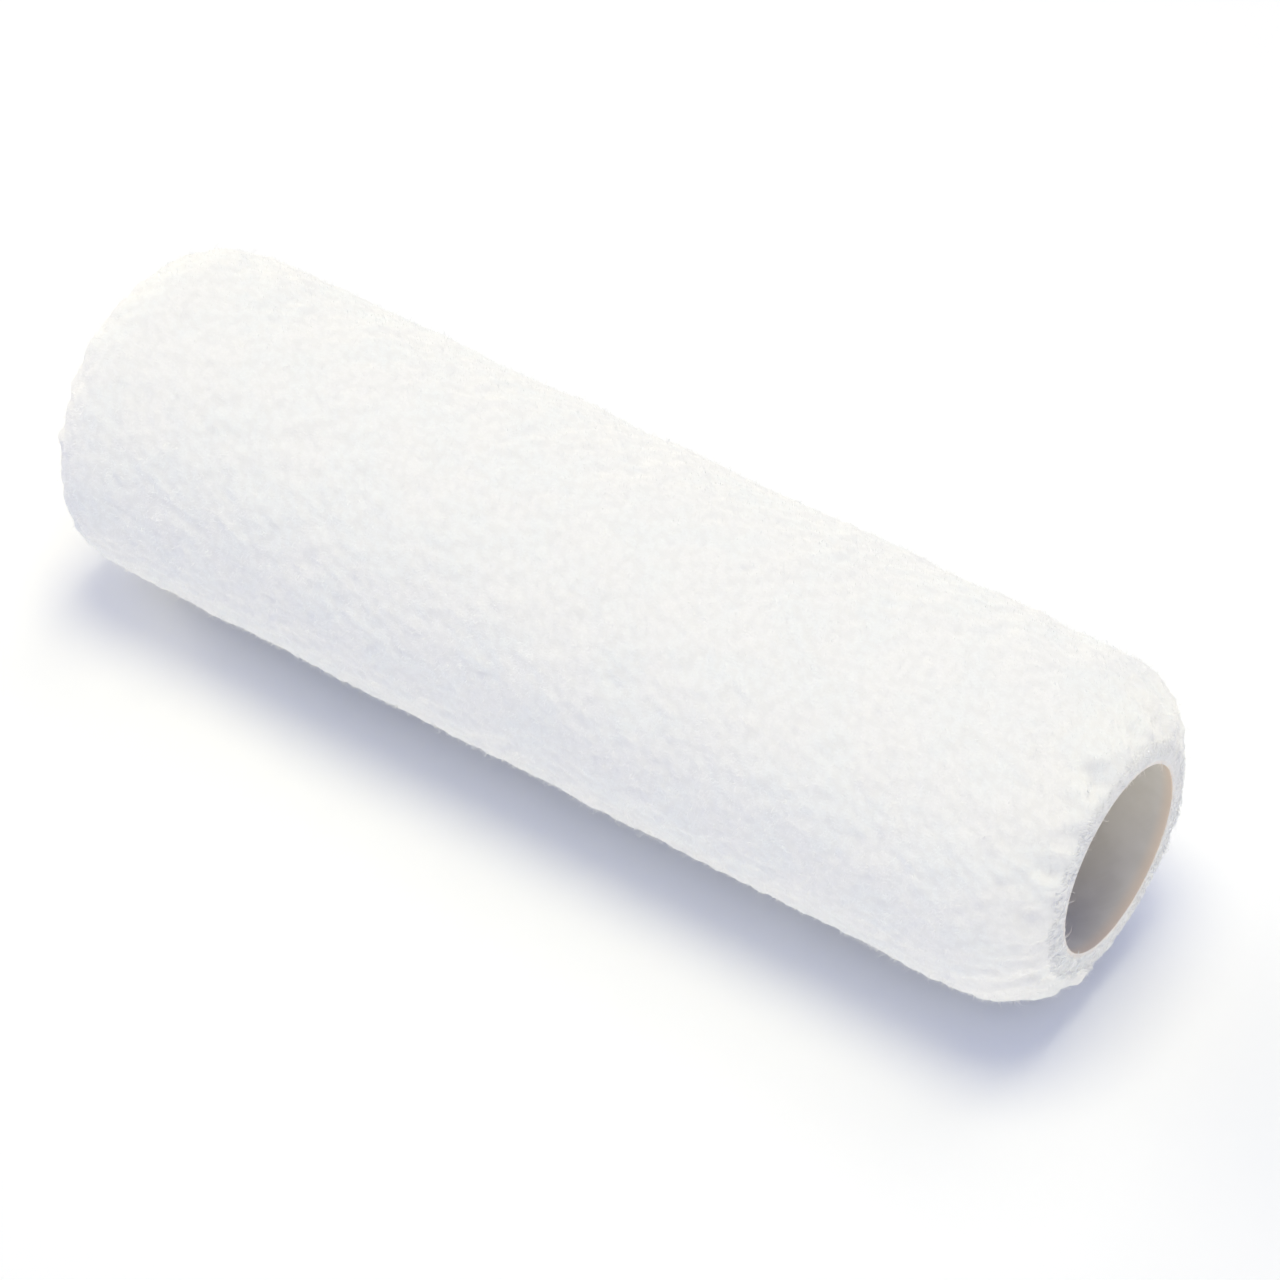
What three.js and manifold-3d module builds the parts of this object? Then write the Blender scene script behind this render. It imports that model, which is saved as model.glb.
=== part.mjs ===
// Cover of a paint roller: a deep-pile knitted sleeve bonded to a thin plastic core tube.
//
// The core is two plastic strips wound in a helix, one over the other, with their seams half a
// turn apart. A film of molten plastic bonds a strip of pile fabric around them, and both ends
// of the pile are trimmed to a rounded shoulder.
//
// Millimetres, +Z up. The cover lies on its side: its axis runs along X, it rests on z = 0,
// and the origin is under its middle.

import * as THREE from 'three';
import { mergeVertices } from 'three/addons/utils/BufferGeometryUtils.js';
import Module from 'manifold-3d';

const wasm = await Module();
wasm.setup();

// Driving dimensions.
const CORE_LENGTH = 228.6; // nine inches, both ends trimmed square
const BORE_RADIUS = 19.05; // one and a half inches across, to fit a standard frame's cage
const PLY_THICKNESS = 0.55;
const FILM_THICKNESS = 0.2;
const BACKING_THICKNESS = 0.9;
const PILE_HEIGHT = 13.5; // half-inch nap, combed out
const LAYER_GAP = 0.05; // between one layer and the next

// Winding.
const STRIP_WIDTH = 73; // measured square across the strip
const SEAM_GAP = 0.4; // along the axis, where a strip meets its own last turn
const FACETS = 60; // flat faces around the axis, the same for every layer so that they nest

// Ends of the pile.
const PILE_OVERHANG = 0.3; // how far the pile stands past each end of the core
const END_LAND = 1.0; // flat ring between the backing and the shoulder
const SHOULDER_LENGTH = 16; // along the axis
const SIDE_FULLNESS = 0.64; // of the shoulder: 0.55 at both of its ends would be a round arc
const END_FULLNESS = 0.25;
const SHOULDER_STEPS = 9;

// The pile gives a little under the cover's own weight.
const REST_SQUASH = 0.6;

// Radii of the layers, from the bore outwards.
const innerPly = layer(BORE_RADIUS, PLY_THICKNESS);
const outerPly = layer(innerPly.outer + LAYER_GAP, PLY_THICKNESS);
const film = layer(outerPly.outer + LAYER_GAP, FILM_THICKNESS);
const backing = layer(film.outer + LAYER_GAP, BACKING_THICKNESS);
const pile = layer(backing.outer + LAYER_GAP, PILE_HEIGHT);

const AXIS_HEIGHT = pile.outer - REST_SQUASH;

// A strip wound edge to edge advances by this much in a turn: its width and the length of one
// turn set the angle at which it lies.
const TURN_LENGTH = 2 * Math.PI * (innerPly.inner + innerPly.outer) / 2;
const PITCH = STRIP_WIDTH / Math.cos(Math.asin(STRIP_WIDTH / TURN_LENGTH));

const materials = {
  core: plastic(0xd9d4ca, 0.55),
  film: plastic(0xe3cbb9, 0.6),
  backing: plastic(0xe9e0d6, 0.95),
  pile: plastic(0xf6f6f4, 1.0),
};

function plastic(color, roughness) {
  return new THREE.MeshStandardMaterial({ color, roughness, metalness: 0 });
}

function layer(inner, thickness) {
  return { inner, outer: inner + thickness };
}

// Booleans need a closed mesh whose corners are shared.
function toManifold(geometry) {
  const bare = geometry.clone();
  bare.deleteAttribute('normal');
  bare.deleteAttribute('uv');
  const merged = mergeVertices(bare);
  const vertProperties = new Float32Array(merged.attributes.position.array);
  const triVerts = new Uint32Array(merged.index.array);
  return new wasm.Manifold(new wasm.Mesh({ numProp: 3, vertProperties, triVerts }));
}

function toGeometry(manifold) {
  const { vertProperties, triVerts } = manifold.getMesh();
  const geometry = new THREE.BufferGeometry();
  geometry.setAttribute('position', new THREE.BufferAttribute(vertProperties, 3));
  geometry.setIndex(new THREE.BufferAttribute(triVerts, 1));
  geometry.computeVertexNormals();
  return geometry;
}

// A strip wound around the X axis, edge to edge, and trimmed square at both ends. seam moves
// the winding along the axis, as a part of a turn.
function woundStrip({ inner, outer }, seam) {
  const turns = Math.ceil(CORE_LENGTH / PITCH) + 2;
  const strip = new THREE.BoxGeometry(turns, PITCH - SEAM_GAP, outer - inner, turns * FACETS);
  const position = strip.attributes.position;
  for (let i = 0; i < position.count; i++) {
    const turn = position.getX(i);
    const radius = (inner + outer) / 2 + position.getZ(i);
    const angle = 2 * Math.PI * turn;
    const along = (turn + seam) * PITCH + position.getY(i);
    position.setXYZ(i, along, -radius * Math.sin(angle), radius * Math.cos(angle));
  }
  const trimBox = new THREE.BoxGeometry(CORE_LENGTH, 4 * outer, 4 * outer);
  return toGeometry(toManifold(strip).intersect(toManifold(trimBox)));
}

// A profile drawn with x as the radius and y along the axis, turned around the X axis.
function turned(profile) {
  return new THREE.LatheGeometry(profile, FACETS).rotateZ(-Math.PI / 2);
}

function tube({ inner, outer }, length) {
  const half = length / 2;
  return turned([
    new THREE.Vector2(inner, half),
    new THREE.Vector2(inner, -half),
    new THREE.Vector2(outer, -half),
    new THREE.Vector2(outer, half),
    new THREE.Vector2(inner, half),
  ]);
}

// The pile's section on one side of the axis: straight inside, a narrow flat ring at each end,
// and a shoulder that rounds off the side and slopes down to that ring.
function pileProfile({ inner, outer }) {
  const end = CORE_LENGTH / 2 + PILE_OVERHANG;
  const land = inner + END_LAND;
  const shoulder = end - SHOULDER_LENGTH;
  const rise = (outer - land) * END_FULLNESS;
  const run = SHOULDER_LENGTH * SIDE_FULLNESS;
  const outline = new THREE.Path();
  outline.moveTo(inner, end);
  outline.lineTo(inner, -end);
  outline.lineTo(land, -end);
  outline.bezierCurveTo(land + rise, -end, outer, -shoulder - run, outer, -shoulder);
  outline.lineTo(outer, shoulder);
  outline.bezierCurveTo(outer, shoulder + run, land + rise, end, land, end);
  outline.lineTo(inner, end);
  return outline.getPoints(SHOULDER_STEPS);
}

// The pile is pressed flat where the cover rests on it.
function restingPile(section) {
  const whole = turned(pileProfile(section));
  const depth = section.outer;
  const floorBox = new THREE.BoxGeometry(2 * CORE_LENGTH, 4 * section.outer, depth);
  floorBox.translate(0, 0, -AXIS_HEIGHT - depth / 2);
  return toGeometry(toManifold(whole).subtract(toManifold(floorBox)));
}

function piece(name, geometry, material) {
  const mesh = new THREE.Mesh(geometry, material);
  mesh.name = name;
  return mesh;
}

const cover = new THREE.Group();
cover.position.z = AXIS_HEIGHT;
cover.add(
  piece('core_inner_ply', woundStrip(innerPly, 0.5), materials.core),
  piece('core_outer_ply', woundStrip(outerPly, 0), materials.core),
  piece('adhesive_film', tube(film, CORE_LENGTH), materials.film),
  piece('fabric_backing', woundStrip(backing, 0.25), materials.backing),
  piece('pile', restingPile(pile), materials.pile),
);

export default cover;
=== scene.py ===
"""Looks of a paint roller cover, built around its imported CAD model.

Metres, +Z up. The cover lies on its side along X and rests on z = 0.
"""

import math

import bpy
import numpy as np
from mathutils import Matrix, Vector
from mathutils.kdtree import KDTree


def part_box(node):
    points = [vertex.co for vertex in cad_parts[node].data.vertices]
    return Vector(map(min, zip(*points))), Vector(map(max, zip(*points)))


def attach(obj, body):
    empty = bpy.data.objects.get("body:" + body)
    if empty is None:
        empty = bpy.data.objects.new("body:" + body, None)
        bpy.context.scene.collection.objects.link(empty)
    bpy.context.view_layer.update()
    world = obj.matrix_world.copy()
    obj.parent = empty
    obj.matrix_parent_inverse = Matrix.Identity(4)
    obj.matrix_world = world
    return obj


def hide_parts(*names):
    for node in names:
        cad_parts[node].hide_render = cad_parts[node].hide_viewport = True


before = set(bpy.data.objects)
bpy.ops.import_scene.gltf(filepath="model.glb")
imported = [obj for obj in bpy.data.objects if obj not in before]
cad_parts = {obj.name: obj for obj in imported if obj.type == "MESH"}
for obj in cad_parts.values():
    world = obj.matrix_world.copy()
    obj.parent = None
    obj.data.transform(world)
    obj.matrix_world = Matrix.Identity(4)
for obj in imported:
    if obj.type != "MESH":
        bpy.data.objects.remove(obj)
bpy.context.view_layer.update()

MM = 0.001
TURN = 2 * math.pi
SEED = 7

# Camera. Azimuths are in degrees from -Y towards +X.
AZIMUTH = 34.7
ELEVATION = 44.4
DISTANCE = 0.927
LENS = 135.8  # mm
SENSOR_WIDTH = 36  # mm
AIM_RIGHT = 6.6 * MM  # the cover's middle is this far left of the aim
AIM_UP = -5.6 * MM

# Light and floor.
LIGHT_DISTANCE = 1.3
LIGHTS = (  # name, azimuth, elevation, width, power, colour
    ("overhead", 0, 90, 0.7, 8.2, (1.0, 0.93, 0.61)),
    ("camera_side", 30, 14, 0.8, 2.4, (1.0, 1.0, 0.92)),
    ("bore_side", 60, 5, 0.4, 3.3, (1.0, 0.85, 0.33)),
    ("back", 180, 60, 0.8, 3.5, (1.0, 0.94, 0.74)),
    ("left", 270, 14, 0.8, 8.1, (1.0, 0.88, 0.54)),
)
SKY_COLOUR = (0.54, 0.62, 1.0, 1)
SKY_STRENGTH = 0.52
FLOOR_COLOUR = (0.955, 0.97, 1.0, 1)
FLOOR_HALF = 3.0  # half of its side

# Colours.
WHITE = (0.965, 0.965, 0.965, 1)
COOL_WHITE = (0.95, 0.965, 0.97, 1)
# painted shade at the fibres' roots, and the darker tone of some fibres and of the backing's fuzz
ROOT_SHADE_AND_TONE_WHITE = (0.94, 0.94, 0.94, 1)
# painted shade between the tufts, and the darker specks of the body's grain
BODY_SHADE_AND_GRAIN_WHITE = (0.90, 0.90, 0.90, 1)
# painted warm glow of light from the core, on the pile next to the bore
RIM_BOUNCE_GLOW = (0.93, 0.84, 0.77, 1)
RIM_GLOW_REACH = 1.1 * MM  # how far out from the bore the painted glow reaches
CORE_CREAM = (0.715, 0.69, 0.655, 1)
CORE_CREAM_LIGHT = (0.765, 0.74, 0.71, 1)
# painted warm glow of light coming through the core near its ends
CORE_END_GLOW = (0.88, 0.72, 0.60, 1)
CORE_GLOW_REACH = 3 * MM
FILM_TAN = (0.72, 0.55, 0.44, 1)
BACKING_ECRU = (0.80, 0.74, 0.68, 1)

# Winding of the core's plies and of the backing, as the CAD model has it.
STRIP_WIDTH = 73 * MM
INNER_PLY_SEAM, OUTER_PLY_SEAM, BACKING_SEAM = 0.5, 0.0, 0.25  # parts of a turn
PLY_SEAM_GAP, PLY_EDGE = 0.08 * MM, 0.08 * MM
BACKING_SEAM_GAP, BACKING_EDGE = 0.3 * MM, 0.15 * MM
STRIP_COLUMNS = 240  # around one turn
STRIP_SPANS = 11  # points across a strip's face, between its two edges
STRIP_INSET = 0.25 * MM  # from the easing of an edge to the first of them
STRIP_TIP = 0.3 * MM  # width of the sliver at which a strip begins and ends

# Knit of the backing.
WALES = 96  # around the cover
WALE_DEPTH = 0.10 * MM
COURSE_WIDTH = 6.6 * MM
COURSE_DEPTH = 0.05 * MM
STITCHES = 480  # around the cover
THREAD_WIDTH = 0.4 * MM

# Film between the core and the backing.
FILM_ROWS = 40
FILM_THINNED, FILM_RIPPLE, FILM_MOST_THINNED = 0.18, 0.12, 0.5  # parts of its thickness
RIPPLE_WAVELENGTH = 6 * MM
RIPPLE_RING = 20 * MM  # radius at which the wavelength is true
RIPPLE_SEED = 8

# Outline of the pile: its side, a shoulder, an upright end and a lip over the core's end.
SHOULDER_LENGTH = 16 * MM
SIDE_FULLNESS = 0.64
END_RISE = 5.2 * MM  # how far out from the bore the pile's end stays nearly upright
END_SLOPE = 0.2 * MM
FLAT_BEYOND = 0.2 * MM  # how far past the backing the pile's end stays flat, over the core's end
LIP_ROUND = 0.4 * MM
LIP_OVERHANG = 0.03 * MM  # how far the lip reaches in past the core's bore
LIP_GAP = 0.02 * MM
FUZZ = 0.2 * MM  # how far the tips of most fibres lie inside the CAD pile, for the proud ones
LIP_STEPS, SHOULDER_STEPS = 24, 160
SQUASH_HEIGHT = 0.8 * MM  # pile that would lie lower than this is pressed flatter

# Smooth noise.
NOISE_WAVES = 24
NOISE_RANGE = (0.7, 1.5)  # shortest and longest wave, as parts of the wavelength
STRETCH = 0.6  # squeezes places along the cover, which makes their waves 1 / 0.6 times as long

# Height of the pile's surface: waves with a height, a wavelength and a seed.
PILE_WAVES = ((0.15 * MM, 22 * MM, 1), (0.10 * MM, 6 * MM, 2))
LONG_WAVES = ((0.11 * MM, 3.2 * MM, 14), (0.06 * MM, 1.9 * MM, 15))
WAVES_FROM_RIM = (2.4 * MM, 8 * MM)  # where they begin, and where they reach their height

# Lobes that run out from the rim over the shoulder.
LOBE_WAVE = (0.42 * MM, 4.2 * MM, 5)
LOBE_STRETCH = 2.2
LOBE_RING = 24 * MM  # radius at which the wavelength is true
LOBES_FROM_RIM = (2.2 * MM, 4.8 * MM)
LOBES_TO_SIDE = (22 * MM, 8 * MM)
LOBE_END_SHIFT = 1.0  # sets the noise of the two ends apart

# Tufts: bunches of fibres with a rounded top.
TUFT_SPACING = 2.0 * MM
TUFT_SCATTER = 0.42  # of the spacing, to either side
TUFT_HEIGHT = 0.05 * MM  # usual difference between tufts
TUFT_ROUNDNESS = 0.14 * MM  # how far a tuft's side lies below its top
ROUNDNESS_RANGE = (0.5, 1.5)
TUFT_LEAN = 0.13  # usual slope of a tuft, in patches and again at random
LEAN_WAVELENGTH = 9 * MM
LEAN_SEEDS = (3, 4)  # around the cover, and along it
SPLAY = ((0, 85), (3, 58), (8, 34), (24, 0))  # mm from the rim, degrees of lean towards the end

# Fibres.
FIBRES_PER_TUFT = 16
FIBRE_LENGTH = 2.0 * MM  # the part near the surface, which is all that shows
FIBRE_RADIUS = 0.082 * MM
FIBRE_RADIUS_RANGE = (0.75, 1.2)
FIBRE_TAPER = 0.5  # of the radius, lost from root to tip
ROOT_SPREAD = 0.90 * MM
TIP_SPREAD = 1.20 * MM
TIP_SCATTER = 0.12 * MM
FIBRE_HEIGHT = 0.05 * MM  # usual difference between fibres
FIBRE_WAVES = ((0.05 * MM, 1.8 * MM, 11),)  # clumps a little smaller than a tuft
HEIGHT_FROM_RIM = (1 * MM, 6 * MM)
TUFT_BEND, FIBRE_BEND = 0.15 * MM, 0.08 * MM
BEND_FROM_RIM = (2 * MM, 6 * MM)
PROUD_SHARE = 0.16  # of the fibres stand out from the rest
PROUD_HEIGHT = 0.6 * MM  # the most, and few reach it
PROUD_RANGE, PROUD_POWER = (0.1, 1), 1.6
PROUD_THINNESS = 0.75
BARE_RING = (0.2 * MM, 1.6 * MM)  # beyond the backing, where the fibres begin
ROOT_CLEARANCE = 0.3 * MM  # to the backing
RING_SIDES = 3
MOSTLY_ALONG_X = 0.7  # a fibre's least share of X to count as such
CELL_MARGIN = np.array((0.15, 0.1))  # of a fibre's cell in the UV map
FIBRE_BANDS = 13  # lengths of the pile, each one piece

# Rim fibres, which lie over the core's two ends.
RIM_FIBRES = 4400
RIM_PLACES = (0.35 * MM, 5.0 * MM)  # from the rim
RIM_TURN = 0.8  # radians, the usual turn away from pointing in to the bore
RIM_HEIGHTS = (0, 0.16 * MM)
RIM_LENGTHS = (0.8 * MM, 1.5 * MM)
RIM_TIPS = (0, 0.25 * MM)  # past the fibre's place
RIM_SINK = 0.06 * MM
RIM_ARCH = 0.08 * MM

# Stray hairs that stand out from the pile.
HAIR_PIECES = 2
HAIR_COUNT = 11500  # tried for each piece, and fewer kept where the pile is narrower
HAIR_RADIUS = 0.026 * MM
HAIR_RADIUS_RANGE = (0.8, 1.3)
HAIR_STATIONS = 4  # points along a hair
HAIR_SHORTEST, HAIR_LONGER = 0.15 * MM, 1.0 * MM  # how far out, and how much further at most
HAIR_POWER = 3  # so that most are short
HAIR_ASIDE = (1.0, 2.4)  # times how far out it reaches
HAIR_WAVE = 0.5
HAIR_BURIED = 0.5 * MM

# Hairs at the rim, which reach in across the bore's edge.
RIM_HAIRS = 30  # at each end
RIM_HAIR_THICKNESS = 1.7  # times a stray hair's
RIM_HAIR_REACH = (0.8 * MM, 2.2 * MM)
RIM_HAIR_OUT = (0.05 * MM, 0.8 * MM)
RIM_HAIR_ASIDE = 0.5
RIM_HAIR_ROOT = 0.6 * MM  # out from the bore
RIM_HAIR_BURIED = 0.1 * MM
RIM_HAIR_CLEAR = 0.08 * MM
RIM_HAIR_ARCH = 2.2  # radians of a sine wave from root to tip

# Body of the pile under the fibre tips.
BODY_DEPTH = 0.32 * MM
RIM_DEPTH = 0.1  # of the body's depth, left at the rim
BODY_DOME = 0.06 * MM  # under each tuft
DOME_EDGE = 1.25  # of half the spacing, past which it falls no further
BODY_ROWS = 354
BODY_COLUMNS = 274
LIP_ROWS = np.array((0, 0.05, 0.1, 0.2, 0.4)) * MM
LIP_ROWS_END = 0.8 * MM
BORE_ROWS = 5
TUFTS_SHARING = 4
SHARE_FALL = 2.5  # how fast a tuft's share falls with distance


# ---------------------------------------------------------------- dimensions from the frame

pile_low, pile_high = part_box("pile")
PILE_RADIUS = (pile_high.y - pile_low.y) / 2
PILE_END = pile_high.x
AXIS_HEIGHT = pile_high.z - PILE_RADIUS
CORE_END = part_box("core_inner_ply")[1].x


def radii(node):
    """Smallest and largest distance of a CAD node's points from the cover's axis."""
    points = np.array([v.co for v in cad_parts[node].data.vertices])
    distance = from_axis(points)
    return distance.min(), distance.max()


def from_axis(points):
    return np.hypot(points[:, 1], points[:, 2] - AXIS_HEIGHT)


PILE_INNER = radii("pile")[0]
BORE_RADIUS, PLY_OUTER = radii("core_inner_ply")
TURN_LENGTH = TURN * (BORE_RADIUS + PLY_OUTER) / 2
PITCH = STRIP_WIDTH / math.cos(math.asin(STRIP_WIDTH / TURN_LENGTH))  # along the axis, in one turn


# ---------------------------------------------------------------- meshes and pieces

def make_mesh(name, points, corners, sizes, smooth):
    """A mesh from arrays: points, all faces' corners in one row, and each face's size."""
    mesh = bpy.data.meshes.new(name)
    mesh.vertices.add(len(points))
    mesh.vertices.foreach_set("co", points.astype(np.float32).ravel())
    mesh.loops.add(len(corners))
    mesh.loops.foreach_set("vertex_index", corners.astype(np.int32))
    mesh.polygons.add(len(sizes))
    starts = np.concatenate([[0], np.cumsum(sizes)[:-1]])
    mesh.polygons.foreach_set("loop_start", starts.astype(np.int32))
    mesh.polygons.foreach_set("use_smooth", smooth)
    mesh.update(calc_edges=True)
    return mesh


def grid_faces(rows, columns, wrap_rows, wrap_columns):
    """Corners of the quads of a grid of points, row by row."""
    row, column = np.meshgrid(
        np.arange(rows if wrap_rows else rows - 1),
        np.arange(columns if wrap_columns else columns - 1),
        indexing="ij",
    )
    next_row, next_column = (row + 1) % rows, (column + 1) % columns
    corners = [(row, column), (next_row, column), (next_row, next_column), (row, next_column)]
    return np.stack([r * columns + c for r, c in corners], -1).reshape(-1, 4)


def add_values(mesh, name, values):
    attribute = mesh.attributes.new(name, "FLOAT", "POINT")
    attribute.data.foreach_set("value", values.astype(np.float32))


def add_piece(mesh, material, slot, *nodes):
    """A piece from a mesh, standing for the CAD nodes that are named."""
    piece = bpy.data.objects.new(mesh.name, mesh)
    bpy.context.scene.collection.objects.link(piece)
    mesh.materials.append(material)
    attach(piece, "root")
    if nodes:
        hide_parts(*nodes)


# ---------------------------------------------------------------- outline of the pile

def bezier(p0, p1, p2, p3, steps):
    """Points of the curve that leaves p0 towards p1 and comes to p3 from p2."""
    t = np.linspace(0, 1, steps)[:, None]
    p0, p1, p2, p3 = (np.array(p) for p in (p0, p1, p2, p3))
    return (1 - t) ** 3 * p0 + 3 * t * (1 - t) ** 2 * p1 + 3 * t * t * (1 - t) * p2 + t**3 * p3


def outline():
    """Points (x, radius) from the lip at +X over the shoulder and along to the lip at -X."""
    side, end, inner = PILE_RADIUS - FUZZ, PILE_END - FUZZ, BORE_RADIUS - LIP_OVERHANG
    top, shoulder = inner + LIP_ROUND, PILE_END - SHOULDER_LENGTH
    root = CORE_END + LIP_GAP
    lip = bezier((root, inner), (end, inner), (end, inner), (end, top), LIP_STEPS)
    start = PILE_INNER + FLAT_BEYOND
    slope, run = (end - END_SLOPE, start + END_RISE), SHOULDER_LENGTH * SIDE_FULLNESS
    turn = bezier((end, start), slope, (shoulder + run, side), (shoulder, side), SHOULDER_STEPS)
    half = np.vstack([lip[:-1], turn])
    return np.vstack([half, half[::-1] * (-1, 1)])


class Surface:
    """The outside of the pile, by distance along its outline and angle around the axis."""

    def __init__(self):
        self.points = outline()
        steps = np.diff(self.points, axis=0)
        self.at = np.concatenate([[0], np.cumsum(np.hypot(*steps.T))])
        self.length = self.at[-1]
        self.tangent_at = (self.at[1:] + self.at[:-1]) / 2
        self.tangents = steps / np.hypot(*steps.T)[:, None]

    def place(self, along, angle):
        """Points, outward normals, and the two directions that lie in the surface."""
        x = np.interp(along, self.at, self.points[:, 0])
        r = self.radius(along)
        tx = np.interp(along, self.tangent_at, self.tangents[:, 0])
        tr = np.interp(along, self.tangent_at, self.tangents[:, 1])
        size = np.hypot(tx, tr)
        tx, tr = tx / size, tr / size
        sin, cos = np.sin(angle), np.cos(angle)
        point = np.stack([x, r * sin, AXIS_HEIGHT + r * cos], -1)
        normal = np.stack([tr, -tx * sin, -tx * cos], -1)
        down = np.stack([tx, tr * sin, tr * cos], -1)
        around = np.stack([np.zeros_like(x), cos, -sin], -1)
        return point, normal, down, around

    def radius(self, along):
        return np.interp(along, self.at, self.points[:, 1])

    def from_rim(self, along):
        """Distance along the outline to the nearer lip."""
        return np.minimum(along, self.length - along)


def smooth_noise(points, wavelength, seed):
    """A smooth random field of unit size: a sum of waves in random directions."""
    rng = np.random.default_rng(seed)
    direction = rng.normal(size=(NOISE_WAVES, 3))
    direction /= np.linalg.norm(direction, axis=1)[:, None]
    scale = TURN / (wavelength * rng.uniform(*NOISE_RANGE, NOISE_WAVES))
    phase = rng.uniform(0, TURN, NOISE_WAVES)
    waves = np.sin(points @ (direction * scale[:, None]).T + phase)
    return waves.sum(1) * math.sqrt(2 / NOISE_WAVES)


def relief(points, waves):
    """Sum of noises, each with a height, a wavelength and a seed."""
    return sum(height * smooth_noise(points, wavelength, seed) for height, wavelength, seed in waves)


def stretched(points):
    """Places squeezed along the cover, so that a noise made from them is longer that way."""
    return points * (STRETCH, 1, 1)


def rest_on_floor(points):
    """Pile that would reach below the floor is pressed up against it."""
    z = points[..., 2]
    low = z < SQUASH_HEIGHT
    z[low] = SQUASH_HEIGHT * np.exp(z[low] / SQUASH_HEIGHT - 1)
    return points


def fade(value, start, end):
    """0 at start, 1 at end, with a smooth run between."""
    t = np.clip((value - start) / (end - start), 0, 1)
    return t * t * (3 - 2 * t)


surface = Surface()


def end_lobes(along, angle, from_rim):
    """Height of the lobes that run out from each rim."""
    ring = [from_rim / LOBE_STRETCH, LOBE_RING * np.sin(angle), LOBE_RING * np.cos(angle)]
    places = np.stack(ring, -1)
    places[:, 0] += np.where(along < surface.length / 2, 0, LOBE_END_SHIFT)
    end = fade(from_rim, *LOBES_TO_SIDE) * fade(from_rim, *LOBES_FROM_RIM)
    return end * relief(places, (LOBE_WAVE,))


def pile_lift(along, angle, points):
    """Height of the pile against its outline: waves all over, and lobes at the ends."""
    from_rim = surface.from_rim(along)
    lift = relief(points, PILE_WAVES) + relief(stretched(points), LONG_WAVES)
    return lift * fade(from_rim, *WAVES_FROM_RIM) + end_lobes(along, angle, from_rim)


# ---------------------------------------------------------------- tufts

def tuft_places(rng):
    """Places spread evenly over the pile, with no rows to be seen."""
    row_gap = TUFT_SPACING * math.sqrt(3) / 2
    along, angle = [], []
    for row in np.arange(row_gap / 2, surface.length, row_gap):
        count = round(TURN * surface.radius(row) / TUFT_SPACING)
        turn = rng.uniform(0, TURN)
        scatter = rng.uniform(-TUFT_SCATTER, TUFT_SCATTER, count)
        angle.append(turn + TURN * (np.arange(count) + scatter) / count)
        along.append(row + rng.uniform(-TUFT_SCATTER, TUFT_SCATTER, count) * row_gap)
    return np.clip(np.concatenate(along), 0, surface.length), np.concatenate(angle)


rng = np.random.default_rng(SEED)
tuft_along, tuft_angle = tuft_places(rng)
tuft_point, _, tuft_down, tuft_around = surface.place(tuft_along, tuft_angle)
tuft_count = len(tuft_along)
tuft_height = TUFT_HEIGHT * rng.normal(size=tuft_count)
tuft_roundness = TUFT_ROUNDNESS * rng.uniform(*ROUNDNESS_RANGE, tuft_count)


def pile_direction(along, angle):
    """The way the pile stands: straight out mid-length, and nearly along the axis at the lip."""
    distances, degrees = zip(*SPLAY)
    lean = np.radians(np.interp(surface.from_rim(along) / MM, distances, degrees))
    end = np.where(along < surface.length / 2, 1, -1)
    radial = np.cos(lean)
    return np.stack([end * np.sin(lean), radial * np.sin(angle), radial * np.cos(angle)], -1)


def tuft_directions(rng):
    """The way each tuft stands, leaning a little from the pile's."""
    lean_around, lean_down = (
        TUFT_LEAN * (smooth_noise(tuft_point, LEAN_WAVELENGTH, seed) + rng.normal(size=tuft_count))
        for seed in LEAN_SEEDS
    )
    direction = pile_direction(tuft_along, tuft_angle)
    direction += tuft_around * lean_around[:, None] + tuft_down * lean_down[:, None]
    return direction / np.linalg.norm(direction, axis=1)[:, None]


tuft_direction = tuft_directions(rng)


# ---------------------------------------------------------------- fibres

def disc(rng, count):
    """Random places in a disc of radius 1."""
    angle = rng.uniform(0, TURN, count)
    distance = np.sqrt(rng.uniform(0, 1, count))
    return distance * np.cos(angle), distance * np.sin(angle)


def outside_radius(across, radius):
    """Points across the axis (y, z), put on a circle of a radius around it."""
    across = across - (0, AXIS_HEIGHT)
    return across * (radius / np.linalg.norm(across, axis=1))[:, None] + (0, AXIS_HEIGHT)


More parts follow.
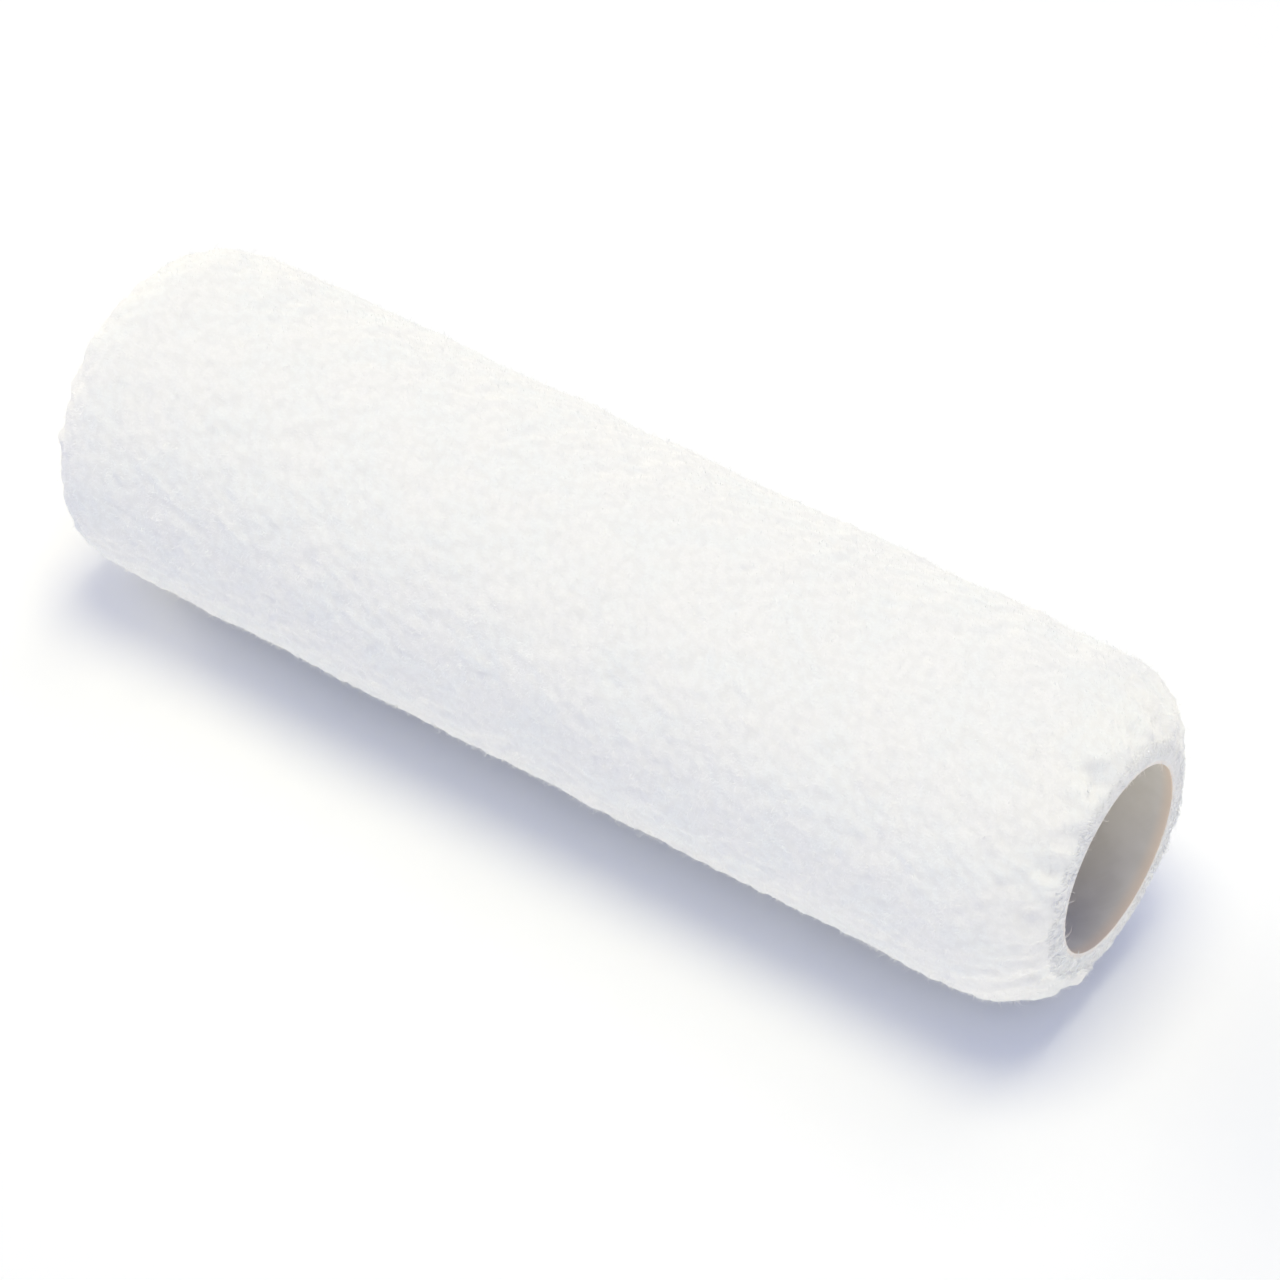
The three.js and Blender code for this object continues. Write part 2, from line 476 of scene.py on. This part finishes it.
def fibre_lines(rng):
    """Which fibres stand proud, and the root, bend and tip of each. The rim is left bare."""
    tuft = np.repeat(np.arange(tuft_count), FIBRES_PER_TUFT)
    place_a, place_b = disc(rng, len(tuft))
    scatter = rng.normal(size=(2, len(tuft))) * TIP_SCATTER
    along = tuft_along[tuft] + place_a * TIP_SPREAD + scatter[0]
    along = np.clip(along, 0, surface.length)
    angle = tuft_angle[tuft] + (place_b * TIP_SPREAD + scatter[1]) / surface.radius(along)
    kept = surface.radius(along) > PILE_INNER + rng.uniform(*BARE_RING, len(along))
    tuft, along, angle, place_a, place_b = (v[kept] for v in (tuft, along, angle, place_a, place_b))
    count = len(tuft)
    from_rim = surface.from_rim(along)
    place, normal, down, around = surface.place(along, angle)

    height = pile_lift(along, angle, place) + tuft_height[tuft]
    height -= tuft_roundness[tuft] * (place_a**2 + place_b**2)
    height += FIBRE_HEIGHT * rng.normal(size=count)
    height += relief(stretched(place), FIBRE_WAVES)
    proud = rng.uniform(size=count) < PROUD_SHARE
    height += np.where(proud, PROUD_HEIGHT * rng.uniform(*PROUD_RANGE, count) ** PROUD_POWER, 0)
    height *= fade(from_rim, *HEIGHT_FROM_RIM)
    tip = place + normal * height[:, None]

    gather = down * place_a[:, None] + around * place_b[:, None]
    root = tip - tuft_direction[tuft] * FIBRE_LENGTH - gather * (TIP_SPREAD - ROOT_SPREAD)
    least_radius = PILE_INNER + ROOT_CLEARANCE
    inside = from_axis(root) < least_radius
    root[inside, 1:] = outside_radius(root[inside, 1:], least_radius)
    bend_a, bend_b = (
        (TUFT_BEND * rng.normal(size=tuft_count))[tuft] + FIBRE_BEND * rng.normal(size=count)
        for _ in range(2)
    )
    bend = down * bend_a[:, None] + around * bend_b[:, None]
    middle = (root + tip) / 2 + bend * fade(from_rim, *BEND_FROM_RIM)[:, None]
    return proud, np.stack([root, middle, tip], 1)


def rim_fibre_lines(rng):
    """Short fibres that lie over the core's end, most of them pointing in to the bore."""
    from_rim = rng.uniform(*RIM_PLACES, RIM_FIBRES)
    angle = rng.uniform(0, TURN, RIM_FIBRES)
    right = np.arange(RIM_FIBRES) % 2 == 0
    along = np.where(right, from_rim, surface.length - from_rim)
    place, normal, down, around = surface.place(along, angle)
    turn = RIM_TURN * rng.normal(size=RIM_FIBRES)
    inward = np.where(right, -np.cos(turn), np.cos(turn))
    way = down * inward[:, None] + around * np.sin(turn)[:, None]
    height = pile_lift(along, angle, place) + rng.uniform(*RIM_HEIGHTS, RIM_FIBRES)
    past = rng.uniform(*RIM_TIPS, RIM_FIBRES)
    tip = place + normal * height[:, None] + way * past[:, None]
    length = rng.uniform(*RIM_LENGTHS, RIM_FIBRES)
    root = place - way * length[:, None] - normal * RIM_SINK
    middle = (root + tip) / 2 + normal * RIM_ARCH
    return np.stack([root, middle, tip], 1)


def hair_lines(rng):
    """Long thin hairs that curve out of the pile."""
    along = rng.uniform(0, surface.length, HAIR_COUNT)
    along = along[rng.uniform(size=HAIR_COUNT) < surface.radius(along) / PILE_RADIUS]
    count = len(along)
    angle = rng.uniform(0, TURN, count)
    place, normal, down, around = surface.place(along, angle)
    place = place + normal * pile_lift(along, angle, place)[:, None]
    out = HAIR_SHORTEST + HAIR_LONGER * rng.uniform(size=count) ** HAIR_POWER
    aside = out * rng.uniform(*HAIR_ASIDE, count)
    turn = rng.uniform(0, TURN, count)
    way = down * np.cos(turn)[:, None] + around * np.sin(turn)[:, None]
    across = down * -np.sin(turn)[:, None] + around * np.cos(turn)[:, None]
    wave = out * rng.normal(0, HAIR_WAVE, count)
    root = place - normal * HAIR_BURIED
    lines = []
    for t in np.linspace(0, 1, HAIR_STATIONS):
        rise = (out + HAIR_BURIED) * math.sin(math.pi / 2 * t)
        curve = way * (aside * t * t)[:, None] + across * (wave * t * t)[:, None]
        lines.append(root + normal * rise[:, None] + curve)
    return np.stack(lines, 1)


def rim_hair_lines(rng):
    """A few hairs at each end that reach in across the bore's edge."""
    count = 2 * RIM_HAIRS
    side = np.where(np.arange(count) % 2, 1, -1)
    angle = rng.uniform(0, TURN, count)
    reach = rng.uniform(*RIM_HAIR_REACH, count)
    out = rng.uniform(*RIM_HAIR_OUT, count)
    aside = reach * rng.normal(0, RIM_HAIR_ASIDE, count)
    end = PILE_END - FUZZ - RIM_HAIR_BURIED
    lines = []
    for t in np.linspace(0, 1, HAIR_STATIONS):
        radius = BORE_RADIUS + RIM_HAIR_ROOT - reach * t
        turn = angle + aside * t**2 / radius
        x = side * (end + (RIM_HAIR_CLEAR + out) * math.sin(RIM_HAIR_ARCH * t))
        lines.append(np.stack([x, radius * np.sin(turn), AXIS_HEIGHT + radius * np.cos(turn)], -1))
    return np.stack(lines, 1)


def fibre_points(lines, radius, positions):
    """Each fibre's rings of points, root to tip, and the single point of its tip."""
    count, stations = lines.shape[:2]
    rings = stations - 1
    axis = lines[:, -1] - lines[:, 0]
    axis /= np.linalg.norm(axis, axis=1)[:, None]
    helper = np.where(np.abs(axis[:, :1]) < MOSTLY_ALONG_X, [[1.0, 0, 0]], [[0, 1.0, 0]])
    side_a = np.cross(axis, helper)
    side_a /= np.linalg.norm(side_a, axis=1)[:, None]
    side_b = np.cross(axis, side_a)
    points = np.empty((count, rings * RING_SIDES + 1, 3))
    for ring in range(rings):
        size = radius * (1 - FIBRE_TAPER * positions[ring])
        for side in range(RING_SIDES):
            turn = TURN * side / RING_SIDES
            offset = side_a * math.cos(turn) + side_b * math.sin(turn)
            points[:, ring * RING_SIDES + side] = lines[:, ring] + offset * size[:, None]
    points[:, -1] = lines[:, -1]
    return rest_on_floor(points)


def fibre_faces(rings):
    """Faces of one closed fibre: quads between its rings, its tip and its root."""
    faces = []
    for ring in range(rings - 1):
        for side in range(RING_SIDES):
            here, after = ring * RING_SIDES + side, ring * RING_SIDES + (side + 1) % RING_SIDES
            faces.append((here, after, after + RING_SIDES, here + RING_SIDES))
    last, tip = (rings - 1) * RING_SIDES, rings * RING_SIDES
    faces += [(last + s, last + (s + 1) % RING_SIDES, tip) for s in range(RING_SIDES)]
    return [*faces, tuple(reversed(range(RING_SIDES)))]


def fibre_mesh(name, lines, radius, tone):
    """Closed, tapering, three-sided fibres along the lines, as one mesh."""
    count, stations = lines.shape[:2]
    rings = stations - 1
    positions = np.linspace(0, 1, stations)
    points = fibre_points(lines, radius, positions)
    per_fibre = points.shape[1]
    faces = fibre_faces(rings)
    corners = np.array([c for face in faces for c in face])
    sizes = np.tile([len(face) for face in faces], count)
    loops = (corners[None] + per_fibre * np.arange(count)[:, None]).ravel()
    mesh = make_mesh(name, points.reshape(-1, 3), loops, sizes, np.zeros(len(sizes), bool))

    position = np.array([*np.repeat(positions[:rings], RING_SIDES), 1.0])
    # along_fibre drives the painted shade towards each fibre's root
    add_values(mesh, "along_fibre", np.tile(position, count))
    add_values(mesh, "fibre_tone", np.repeat(tone, per_fibre))

    # A UV map in which each fibre has a cell of its own.
    grid = math.ceil(math.sqrt(count))
    cell = np.stack([np.arange(count) % grid, np.arange(count) // grid], -1)
    across = np.array([*np.tile((np.arange(RING_SIDES) + 0.5) / RING_SIDES, rings), 0.5])
    inside = CELL_MARGIN + (1 - 2 * CELL_MARGIN) * np.stack([across, position], -1)
    uv = (cell[:, None, :] + inside[None, corners]) / grid
    layer = mesh.uv_layers.new(name="OFBake")
    layer.uv.foreach_set("vector", uv.astype(np.float32).ravel())
    return mesh


# ---------------------------------------------------------------- body of the pile

def nearest_tufts(points):
    """Each point's nearest tufts, their shares in it, and its distance from the nearest."""
    tree = KDTree(tuft_count)
    for i, place in enumerate(tuft_point):
        tree.insert(place, i)
    tree.balance()
    found = [tree.find_n(p, TUFTS_SHARING) for p in points]
    tuft = np.array([[f[1] for f in near] for near in found])
    distance = np.array([[f[2] for f in near] for near in found])
    share = np.exp(-((distance / TUFT_SPACING) ** 2) * SHARE_FALL)
    return tuft, share / share.sum(1)[:, None], distance[:, 0]


def body_surface():
    """The mass of pile under the tips, domed under each tuft, and how far out in a tuft it is."""
    middle_rows = BODY_ROWS + 1 - 2 * len(LIP_ROWS)
    middle = np.linspace(LIP_ROWS_END, surface.length - LIP_ROWS_END, middle_rows)
    rows = np.concatenate([LIP_ROWS, middle, surface.length - LIP_ROWS[::-1]])
    along = np.repeat(rows, BODY_COLUMNS)
    angle = np.tile(TURN * np.arange(BODY_COLUMNS) / BODY_COLUMNS, len(rows))
    point, normal, _, _ = surface.place(along, angle)
    tuft, share, distance = nearest_tufts(point)
    side = np.clip(distance / (TUFT_SPACING / 2), 0, DOME_EDGE) ** 2
    lift = pile_lift(along, angle, point) + (tuft_height[tuft] * share).sum(1) - BODY_DOME * side
    off_rim = fade(surface.from_rim(along), *WAVES_FROM_RIM)
    depth = BODY_DEPTH * (RIM_DEPTH + (1 - RIM_DEPTH) * off_rim) - lift * off_rim
    outer = point - normal * depth[:, None]
    shape = (len(rows), BODY_COLUMNS)
    return outer.reshape(*shape, 3), side.reshape(shape)


def body_mesh():
    """The body as a closed sleeve, hollow where the core runs through it."""
    outer, side = body_surface()
    lip_x = CORE_END + LIP_GAP
    turn = TURN * np.arange(BODY_COLUMNS) / BODY_COLUMNS
    inner = np.empty((BORE_ROWS, BODY_COLUMNS, 3))
    inner[..., 0] = np.linspace(-lip_x, lip_x, BORE_ROWS)[:, None]
    inner[..., 1] = PILE_INNER * np.sin(turn)
    inner[..., 2] = AXIS_HEIGHT + PILE_INNER * np.cos(turn)
    points = rest_on_floor(np.concatenate([outer, inner]))
    faces = grid_faces(len(points), BODY_COLUMNS, True, True)
    smooth = np.arange(len(faces)) < (len(outer) - 1) * BODY_COLUMNS
    mesh = make_mesh("pile_body", points.reshape(-1, 3), faces.ravel(), np.full(len(faces), 4), smooth)
    # tuft_side drives the painted shade between the tufts in the body's material
    add_values(mesh, "tuft_side", np.concatenate([side, np.zeros(inner.shape[:2])]).ravel())
    return mesh


# ---------------------------------------------------------------- core, film and backing

def around_core(x, r, angle):
    """Points at a place along the axis, a distance from it and an angle around it."""
    return np.stack([x, -r * np.sin(angle), AXIS_HEIGHT + r * np.cos(angle)], -1)


def strip_section(low, high, inner, outer, edge):
    """Points (x, radius) around a strip's section, its face first, and how many are in the face."""
    width = high - low
    edge = np.minimum(edge, width / 6)
    inset = np.minimum(edge + STRIP_INSET, width / 4)
    shares = np.linspace(0, 1, STRIP_SPANS)
    across = [low + edge, *(low + inset + (width - 2 * inset) * s for s in shares), high - edge]
    section = [(x, np.full_like(x, outer)) for x in across]
    section += [(high, outer - edge), (high, inner + edge)]
    section += [(x, np.full_like(x, inner)) for x in reversed(across)]
    section += [(low, inner + edge), (low, outer - edge)]
    x, r = (np.stack(values, 1) for values in zip(*section))
    return x, r, len(across)


def wound_strip(name, inner, outer, seam, gap, edge, outer_relief=None):
    """A strip wound edge to edge around the axis and trimmed square, with its edges eased."""
    reach = CORE_END - STRIP_TIP - gap / 2
    first, last = -reach / PITCH - seam - 0.5, reach / PITCH - seam + 0.5
    turn = np.linspace(first, last, math.ceil((last - first) * STRIP_COLUMNS))
    low = np.maximum(-CORE_END, (turn + seam - 0.5) * PITCH + gap / 2)
    high = np.minimum(CORE_END, (turn + seam + 0.5) * PITCH - gap / 2)
    x, r, in_face = strip_section(low, high, inner, outer, edge)
    loops = x.shape[1]
    angle = np.repeat(TURN * turn[:, None], loops, 1)
    if outer_relief:
        r[:, :in_face] -= outer_relief(x, angle)[:, :in_face]
    faces = grid_faces(len(turn), loops, False, True)
    caps = np.array([np.arange(loops)[::-1], (len(turn) - 1) * loops + np.arange(loops)])
    corners = np.concatenate([faces.ravel(), caps.ravel()])
    sizes = np.concatenate([np.full(len(faces), 4), (loops, loops)])
    smooth = np.concatenate([np.ones(len(faces), bool), (False, False)])
    return make_mesh(name, around_core(x, r, angle).reshape(-1, 3), corners, sizes, smooth)


def film_tube(name, inner, outer):
    """The film of once molten plastic, a little uneven in thickness."""
    columns = STRIP_COLUMNS
    x = np.linspace(-CORE_END, CORE_END, FILM_ROWS)
    angle = TURN * np.arange(columns) / columns
    ring = (x[:, None], RIPPLE_RING * np.sin(angle), RIPPLE_RING * np.cos(angle))
    places = np.stack(np.broadcast_arrays(*ring), -1).reshape(-1, 3)
    ripple = smooth_noise(places, RIPPLE_WAVELENGTH, RIPPLE_SEED).reshape(FILM_ROWS, columns)
    thinned = np.clip(FILM_THINNED + FILM_RIPPLE * ripple, 0, FILM_MOST_THINNED)
    outside = outer - (outer - inner) * thinned
    r = np.concatenate([outside, np.full_like(outside, inner)])
    x = np.repeat(np.concatenate([x, x[::-1]])[:, None], columns, 1)
    faces = grid_faces(2 * FILM_ROWS, columns, True, True)
    row = np.arange(len(faces)) // columns
    smooth = (row != FILM_ROWS - 1) & (row != 2 * FILM_ROWS - 1)
    points = around_core(x, r, angle).reshape(-1, 3)
    return make_mesh(name, points, faces.ravel(), np.full(len(faces), 4), smooth)


def knit_relief(x, angle):
    """How far the knitted backing dips between its wales, which run along the axis, and courses."""
    wales = 0.5 + 0.5 * np.cos(angle * WALES)
    courses = 0.5 + 0.5 * np.cos(TURN * x / COURSE_WIDTH)
    return WALE_DEPTH * (1 - wales) + COURSE_DEPTH * (1 - courses)


# ---------------------------------------------------------------- materials

NOISE_MIDDLE = (0.35, 0.65)  # where most values of a noise texture lie
NOISE_WIDE = (0.3, 0.7)


class Nodes:
    """A material's node tree, with short calls to add and link nodes."""

    def __init__(self, name):
        self.material = bpy.data.materials.new(name)
        self.material.use_nodes = True
        self.tree = self.material.node_tree
        self.shader = self.tree.nodes["Principled BSDF"]

    def add(self, kind, inputs=None, **settings):
        node = self.tree.nodes.new(kind)
        for key, value in settings.items():
            setattr(node, key, value)
        for key, value in (inputs or {}).items():
            if isinstance(value, bpy.types.NodeSocket):
                self.tree.links.new(value, node.inputs[key])
            else:
                node.inputs[key].default_value = value
        return node

    def link(self, socket, name):
        self.tree.links.new(socket, self.shader.inputs[name])

    def set(self, **values):
        for name, value in values.items():
            self.shader.inputs[name.replace("_", " ")].default_value = value

    def mix(self, factor, a, b):
        return self.add("ShaderNodeMix", {0: factor, 6: a, 7: b}, data_type="RGBA").outputs[2]

    def maths(self, operation, a, b=0.0):
        return self.add("ShaderNodeMath", {0: a, 1: b}, operation=operation).outputs[0]

    def ramp(self, value, low, high, start=0.0, end=1.0):
        """start to end as value goes from low to high."""
        inputs = {0: value, 1: low, 2: high, 3: start, 4: end}
        return self.add("ShaderNodeMapRange", inputs, interpolation_type="SMOOTHSTEP").outputs[0]

    def noise(self, place, scale, detail):
        inputs = {"Vector": place, "Scale": scale, "Detail": detail}
        return self.add("ShaderNodeTexNoise", inputs).outputs["Fac"]

    def place(self):
        return self.add("ShaderNodeTexCoord").outputs["Object"]

    def attribute(self, name):
        return self.add("ShaderNodeAttribute", attribute_name=name).outputs["Fac"]

    def bump(self, height, strength, distance):
        inputs = {"Strength": strength, "Distance": distance, "Height": height}
        self.link(self.add("ShaderNodeBump", inputs).outputs[0], "Normal")

    def from_axis(self, place):
        """A place's distance from the cover's axis, angle around it in radians, and x."""
        parts = self.add("ShaderNodeSeparateXYZ", {0: place})
        across, height = parts.outputs[1], self.maths("SUBTRACT", parts.outputs[2], AXIS_HEIGHT)
        square = self.maths("ADD", self.maths("POWER", across, 2.0), self.maths("POWER", height, 2.0))
        return self.maths("SQRT", square), self.maths("ARCTAN2", across, height), parts.outputs[0]


def pile_colour(nodes):
    """White fibre, a little cooler in places, with a painted warm glow of light from the core on the
    pile next to it.
    """
    place = nodes.place()
    patches = nodes.noise(place, scale=90.0, detail=3.0)
    colour = nodes.mix(nodes.ramp(patches, 0.42, 0.62), WHITE, COOL_WHITE)
    radius, _, _ = nodes.from_axis(place)
    # painted glow: warm light from the core on the pile next to the bore
    near = nodes.ramp(radius, BORE_RADIUS + RIM_GLOW_REACH, BORE_RADIUS, end=0.9)
    return nodes.mix(near, colour, RIM_BOUNCE_GLOW)


def pile_finish(nodes):
    nodes.set(Diffuse_Roughness=1.0, Roughness=0.8, Specular_IOR_Level=0.2)


def fibre_material(name):
    """Fibre with painted shade towards its root, and a little darker all along in some fibres, at
    random.
    """
    nodes = Nodes(name)
    colour = pile_colour(nodes)
    # painted shade: darker towards each fibre's root, down in the pile
    painted_root_shade = nodes.ramp(nodes.attribute("along_fibre"), 0.8, 0.0)
    colour = nodes.mix(painted_root_shade, colour, ROOT_SHADE_AND_TONE_WHITE)
    shade = nodes.maths("MULTIPLY", nodes.attribute("fibre_tone"), 0.2)
    nodes.link(nodes.mix(shade, colour, ROOT_SHADE_AND_TONE_WHITE), "Base Color")
    pile_finish(nodes)
    return nodes.material


def body_material():
    """The mass of fibres, with a fine grain, and painted shade between the tufts."""
    nodes = Nodes("pile_body")
    grain = nodes.noise(nodes.place(), scale=2200.0, detail=4.0)
    # painted shade: darker where the body dips between the tufts
    painted_shade_between_tufts = nodes.ramp(nodes.attribute("tuft_side"), 0.2, 1.3, start=0.2, end=0.7)
    colour = nodes.mix(painted_shade_between_tufts, pile_colour(nodes), BODY_SHADE_AND_GRAIN_WHITE)
    colour = nodes.mix(nodes.ramp(grain, *NOISE_MIDDLE, end=0.4), colour, BODY_SHADE_AND_GRAIN_WHITE)
    nodes.link(colour, "Base Color")
    nodes.bump(grain, strength=0.5, distance=0.3 * MM)
    pile_finish(nodes)
    return nodes.material


def core_material():
    """Cream polypropylene, with faint streaks along the strip as it was wound, and a painted warm glow
    of light through its ends.
    """
    nodes = Nodes("core_plastic")
    place = nodes.place()
    _, angle, x = nodes.from_axis(place)
    wound_back = nodes.maths("ADD", x, nodes.maths("MULTIPLY", angle, PITCH / TURN))
    along_strip = nodes.maths("MULTIPLY", angle, 2 * MM)
    drawn = nodes.add("ShaderNodeCombineXYZ", {0: wound_back, 1: along_strip})
    streaks = nodes.noise(drawn.outputs[0], scale=900.0, detail=2.0)
    cloud = nodes.noise(place, scale=160.0, detail=2.0)
    colour = nodes.mix(nodes.ramp(cloud, *NOISE_MIDDLE), CORE_CREAM, CORE_CREAM_LIGHT)
    colour = nodes.mix(nodes.ramp(streaks, 0.45, 0.7, end=0.25), colour, CORE_CREAM_LIGHT)
    # painted glow: warmer towards each end of the core, where light comes through
    painted_end_glow = nodes.ramp(nodes.maths("ABSOLUTE", x), CORE_END - CORE_GLOW_REACH, CORE_END, end=0.7)
    nodes.link(nodes.mix(painted_end_glow, colour, CORE_END_GLOW), "Base Color")
    nodes.link(nodes.ramp(streaks, *NOISE_WIDE, start=0.5, end=0.62), "Roughness")
    nodes.bump(streaks, strength=0.15, distance=0.1 * MM)
    nodes.set(Specular_IOR_Level=0.35)
    return nodes.material


def film_material():
    """Once molten plastic, tan and slightly mottled."""
    nodes = Nodes("adhesive")
    mottle = nodes.noise(nodes.place(), scale=700.0, detail=3.0)
    nodes.link(nodes.mix(nodes.ramp(mottle, *NOISE_MIDDLE), FILM_TAN, BACKING_ECRU), "Base Color")
    nodes.link(nodes.ramp(mottle, *NOISE_WIDE, start=0.45, end=0.65), "Roughness")
    nodes.bump(mottle, strength=0.3, distance=0.1 * MM)
    return nodes.material


def backing_material():
    """Knitted yarn, its threads seen as fine ribs."""
    nodes = Nodes("backing_knit")
    place = nodes.place()
    _, angle, x = nodes.from_axis(place)
    stitches = nodes.maths("SINE", nodes.maths("MULTIPLY", angle, STITCHES))
    threads = nodes.maths("SINE", nodes.maths("MULTIPLY", x, TURN / THREAD_WIDTH))
    weave = nodes.maths("MULTIPLY", nodes.maths("ADD", stitches, threads), 0.5)
    fuzz = nodes.noise(place, scale=2500.0, detail=2.0)
    colour = nodes.mix(nodes.ramp(weave, -0.8, 0.8), FILM_TAN, BACKING_ECRU)
    colour = nodes.mix(nodes.ramp(fuzz, *NOISE_MIDDLE, end=0.5), colour, ROOT_SHADE_AND_TONE_WHITE)
    nodes.link(colour, "Base Color")
    nodes.bump(weave, strength=0.4, distance=0.2 * MM)
    nodes.set(Roughness=0.9, Specular_IOR_Level=0.2)
    return nodes.material


# ---------------------------------------------------------------- pieces

def build_core():
    plastic = core_material()
    for name, node, seam in (
        ("inner_ply", "core_inner_ply", INNER_PLY_SEAM),
        ("outer_ply", "core_outer_ply", OUTER_PLY_SEAM),
    ):
        ply = wound_strip(name, *radii(node), seam, PLY_SEAM_GAP, PLY_EDGE)
        add_piece(ply, plastic, "core_plastic", node)
    film = film_tube("bonding_film", *radii("adhesive_film"))
    add_piece(film, film_material(), "adhesive", "adhesive_film")
    inner, outer = radii("fabric_backing")
    backing = wound_strip(
        "knitted_backing", inner, outer, BACKING_SEAM, BACKING_SEAM_GAP, BACKING_EDGE, knit_relief
    )
    add_piece(backing, backing_material(), "backing_knit", "fabric_backing")


def build_fibres():
    """All the fibres of the pile, in bands of equal number along the cover."""
    material = fibre_material("pile_fibre")
    proud, lines = fibre_lines(rng)
    lines = np.concatenate([lines, rim_fibre_lines(rng)])
    proud = np.concatenate([proud, np.zeros(RIM_FIBRES, bool)])
    radius = FIBRE_RADIUS * rng.uniform(*FIBRE_RADIUS_RANGE, len(lines))
    radius *= np.where(proud, PROUD_THINNESS, 1)
    tone = rng.uniform(0, 1, len(lines))
    order = np.argsort(lines[:, -1, 0], kind="stable")
    for number, part in enumerate(np.array_split(order, FIBRE_BANDS), 1):
        mesh = fibre_mesh(f"pile_fibres_{number:02d}", lines[part], radius[part], tone[part])
        add_piece(mesh, material, "pile_fibre")


def build_hairs():
    """Stray hairs all over, with the hairs at the rim in the first piece."""
    material = fibre_material("stray_hair")
    for number in range(1, HAIR_PIECES + 1):
        stray = hair_lines(rng)
        rim = rim_hair_lines(rng) if number == 1 else stray[:0]
        lines = np.concatenate([stray, rim])
        radius = HAIR_RADIUS * rng.uniform(*HAIR_RADIUS_RANGE, len(lines))
        radius[len(stray):] *= RIM_HAIR_THICKNESS
        tone = rng.uniform(0, 1, len(lines))
        add_piece(fibre_mesh(f"pile_hairs_{number}", lines, radius, tone), material, "pile_fibre")


build_core()
add_piece(body_mesh(), body_material(), "pile_fibre", "pile")
build_fibres()
build_hairs()


# ---------------------------------------------------------------- floor, lights and camera

def compass_direction(azimuth, elevation):
    """From the cover towards an azimuth and elevation in degrees."""
    azimuth, elevation = math.radians(azimuth), math.radians(elevation)
    return Vector((
        math.sin(azimuth) * math.cos(elevation),
        -math.cos(azimuth) * math.cos(elevation),
        math.sin(elevation),
    ))


def floor():
    mesh = bpy.data.meshes.new("floor")
    half = FLOOR_HALF
    corners = [(-half, -half, 0), (half, -half, 0), (half, half, 0), (-half, half, 0)]
    mesh.from_pydata(corners, [], [(0, 1, 2, 3)])
    nodes = Nodes("floor")
    nodes.set(Base_Color=FLOOR_COLOUR, Roughness=0.9, Specular_IOR_Level=0.1)
    mesh.materials.append(nodes.material)
    plane = bpy.data.objects.new("floor", mesh)
    bpy.context.scene.collection.objects.link(plane)


def sky():
    world = bpy.data.worlds.new("studio")
    world.use_nodes = True
    background = world.node_tree.nodes["Background"]
    background.inputs["Color"].default_value = SKY_COLOUR
    background.inputs["Strength"].default_value = SKY_STRENGTH
    bpy.context.scene.world = world


def area_light(name, azimuth, elevation, width, power, colour):
    """A round softbox that faces the cover, out of the camera's sight."""
    light = bpy.data.lights.new(name, "AREA")
    light.shape = "DISK"
    light.size = width
    light.energy = power
    light.color = colour
    towards = compass_direction(azimuth, elevation)
    lamp = bpy.data.objects.new(name, light)
    lamp.location = towards * LIGHT_DISTANCE
    lamp.rotation_euler = towards.to_track_quat("Z", "Y").to_euler()
    lamp.visible_camera = False
    bpy.context.scene.collection.objects.link(lamp)


def camera():
    back = compass_direction(AZIMUTH, ELEVATION)
    azimuth = math.radians(AZIMUTH)
    right = Vector((math.cos(azimuth), math.sin(azimuth), 0))
    up = back.cross(right)
    aim = Vector((0, 0, AXIS_HEIGHT)) + right * AIM_RIGHT + up * AIM_UP
    data = bpy.data.cameras.new("camera")
    data.sensor_width = SENSOR_WIDTH
    data.lens = LENS
    data.clip_start = 10 * MM
    eye = bpy.data.objects.new("camera", data)
    eye.location = aim + back * DISTANCE
    eye.rotation_euler = back.to_track_quat("Z", "Y").to_euler()
    bpy.context.scene.collection.objects.link(eye)
    bpy.context.scene.camera = eye


floor()
sky()
for light in LIGHTS:
    area_light(*light)
camera()
bpy.context.scene.view_settings.view_transform = "Standard"
